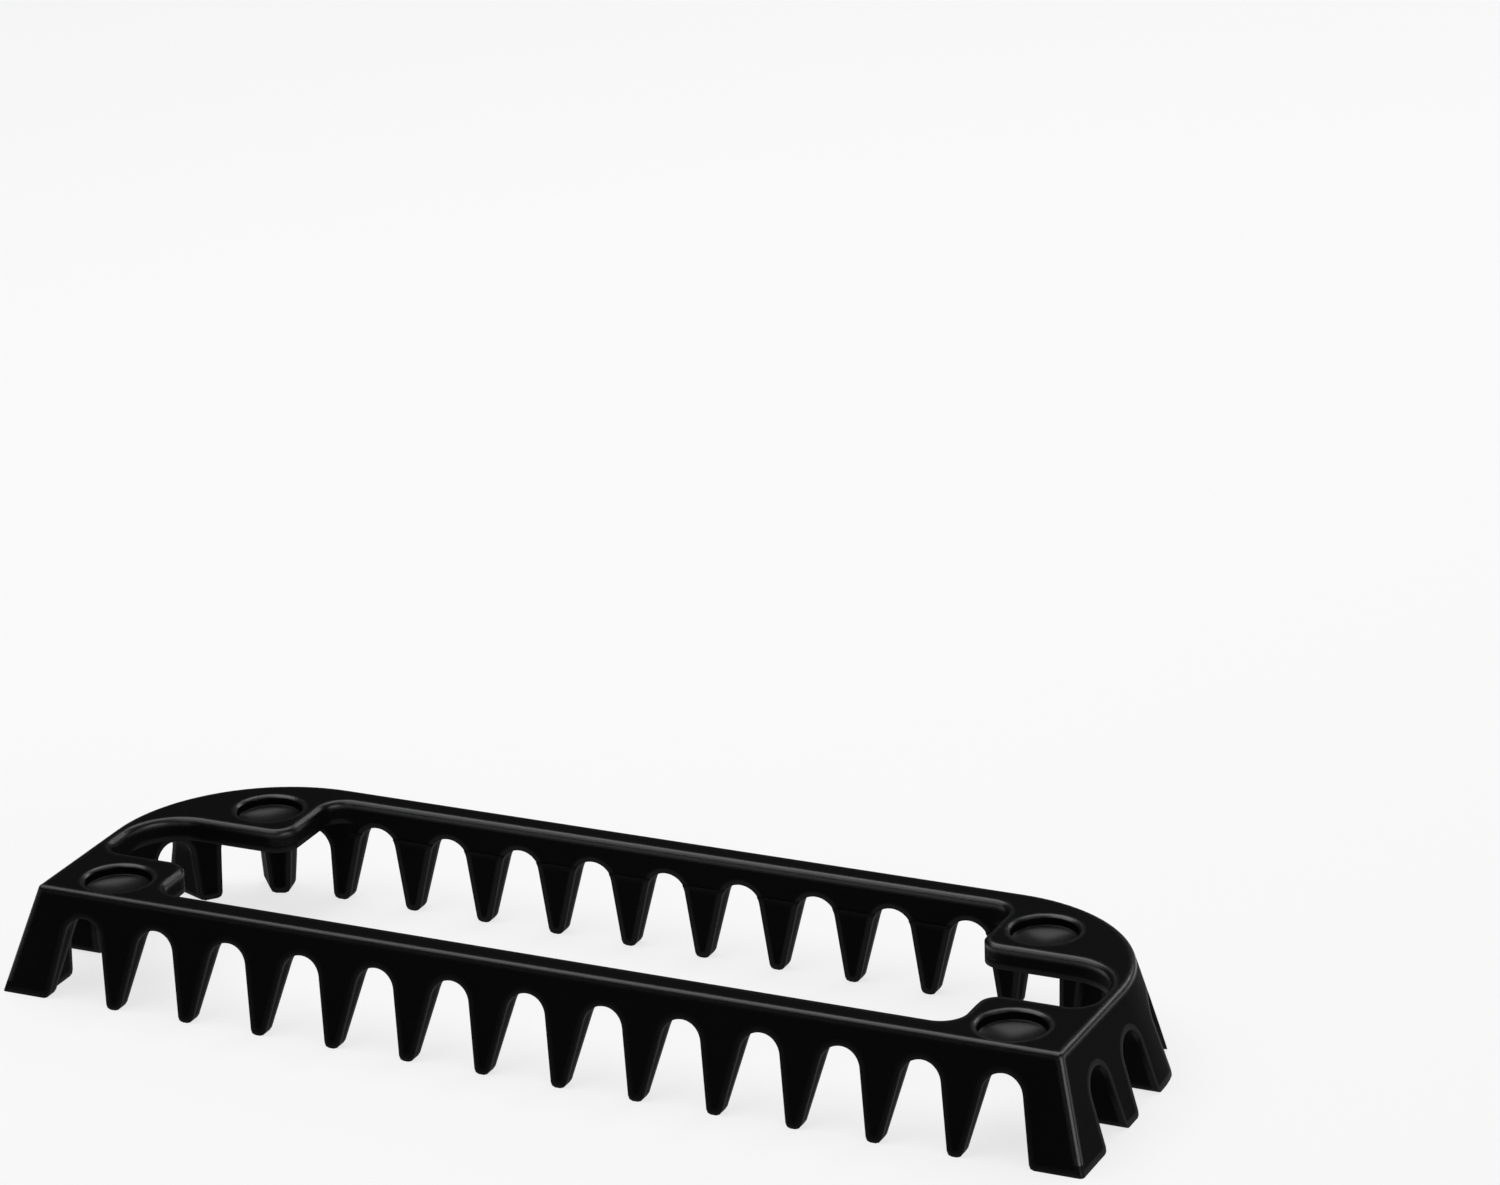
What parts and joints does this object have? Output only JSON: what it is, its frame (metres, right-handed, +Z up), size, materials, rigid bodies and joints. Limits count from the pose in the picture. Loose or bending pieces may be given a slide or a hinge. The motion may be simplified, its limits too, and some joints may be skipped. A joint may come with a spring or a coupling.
{
  "type": "console cooling stand",
  "caption": "Low one-piece cooling stand: an open top frame with round foot recesses at its ends, raised on a ring of tapered teeth that let air through.",
  "frame": {"origin": "middle of the footprint, on the floor that the teeth stand on", "axes": "+X along the length, to the right seen from the square front; +Y to the rounded back; +Z up, out of the top seat"},
  "size_m": [0.2118, 0.0654, 0.0196],
  "materials": {
    "stand_plastic": "satin black"
  },
  "bodies": {
    "root": {"stand_frame": "stand_plastic"}
  },
  "joints": []
}
